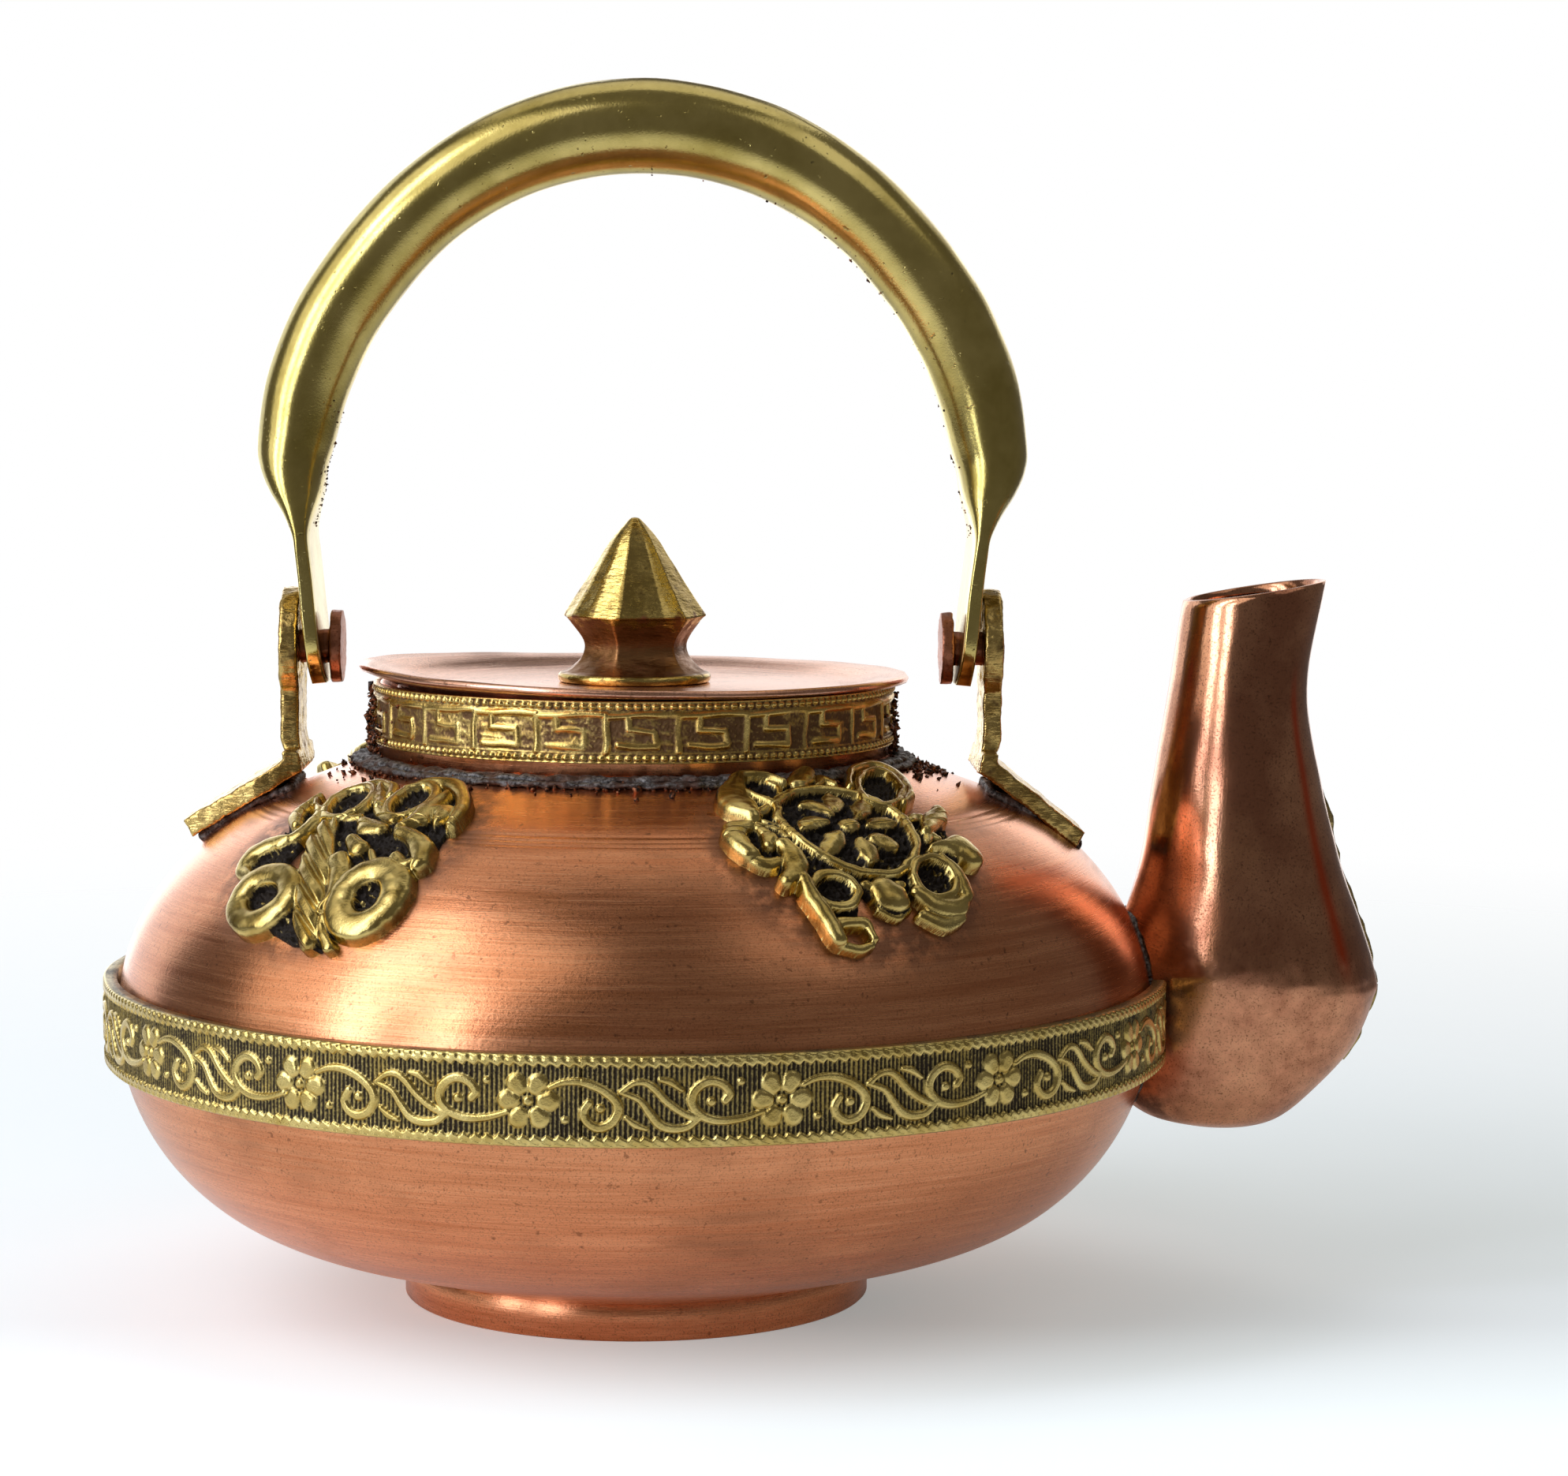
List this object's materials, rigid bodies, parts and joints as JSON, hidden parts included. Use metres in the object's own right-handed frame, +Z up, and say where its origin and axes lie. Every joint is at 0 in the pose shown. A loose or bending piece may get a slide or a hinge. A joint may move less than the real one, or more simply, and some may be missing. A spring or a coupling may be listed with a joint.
{
  "type": "copper teapot",
  "caption": "Squat spun-copper teapot with a curved spout, swinging brass bail handle, lift-off lid with faceted knob, stamped brass bands and cast shoulder medallions",
  "frame": {"origin": "centre of the foot ring's resting face", "axes": "+Z up, +X from the pot's axis towards the spout, +Y completes the right-handed set"},
  "size_m": [0.1634, 0.136, 0.1553],
  "materials": {
    "copper_shell": "spun copper sheet, fine turning lines, light brown patina",
    "copper_spout": "pressed copper sheet, hand burnished, slightly heat darkened",
    "copper_lid": "spun copper sheet, bright and lightly brushed",
    "copper_rivet": "hammered copper with dark edges",
    "brass_tube": "drawn brass tube, yellow-green polish with fine draw lines",
    "brass_cast": "sand-cast brass, tumbled, dark oxide in the recesses",
    "brass_strip": "stamped brass gallery strip, dark oxide in the ground",
    "brass_braze": "brazing brass, filed flush",
    "solder": "soft solder, dull grey, grainy"
  },
  "bodies": {
    "pot": {"body_lower_bowl": "copper_shell", "body_upper_dome": "copper_shell", "foot_ring": "copper_shell", "foot_solder": "solder", "belly_band": "brass_strip", "neck_collar": "copper_shell", "neck_band": "brass_strip", "neck_solder": "solder", "left_lug": "brass_cast", "right_lug": "brass_cast", "left_rivet": "copper_rivet", "right_rivet": "copper_rivet", "spout_near_half": "copper_spout", "spout_far_half": "copper_spout", "spout_seam": "brass_braze", "medallion_front_left": "brass_cast", "medallion_front_right": "brass_cast", "medallion_back_left": "brass_cast", "medallion_back_right": "brass_cast"},
    "bail": {"bail_handle": "brass_tube"},
    "lid": {"lid_dish": "copper_lid", "lid_locating_ring": "copper_lid", "lid_knob": "brass_cast", "lid_knob_washer": "copper_rivet"}
  },
  "joints": [
    {"name": "bail_swing", "type": "hinge", "parent": "pot", "child": "bail", "pos_m": [0.0005, 0, 0.0832], "axis": [1, 0, 0], "range_deg": [-105, 105]},
    {"name": "lid_lift", "type": "slide", "parent": "pot", "child": "lid", "axis": [0, 0, 1], "range_m": [0, 0.03]}
  ]
}
